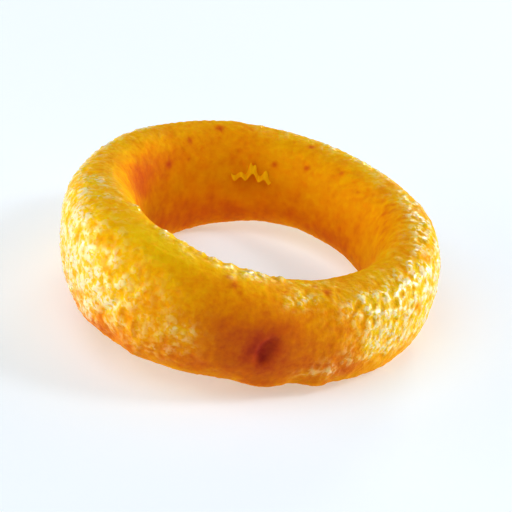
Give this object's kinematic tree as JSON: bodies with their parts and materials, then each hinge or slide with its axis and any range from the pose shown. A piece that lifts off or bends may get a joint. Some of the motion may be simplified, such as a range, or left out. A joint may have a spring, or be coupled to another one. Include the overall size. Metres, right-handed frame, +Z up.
{
  "type": "onion ring",
  "caption": "Single battered and fried onion ring, lying flat, with a thick uneven golden crust round an open hole.",
  "frame": {"origin": "on the table, under the middle of the ring's bounding box", "axes": "+Z up, out of the table, along the hole; +Y towards the back of the ring as it is seen, and +X to the right"},
  "size_m": [0.0682, 0.074, 0.0269],
  "materials": {
    "batter_crust": "golden fried batter, slightly oily, finely blistered"
  },
  "bodies": {
    "root": {"onion_ring": "batter_crust"}
  },
  "joints": []
}
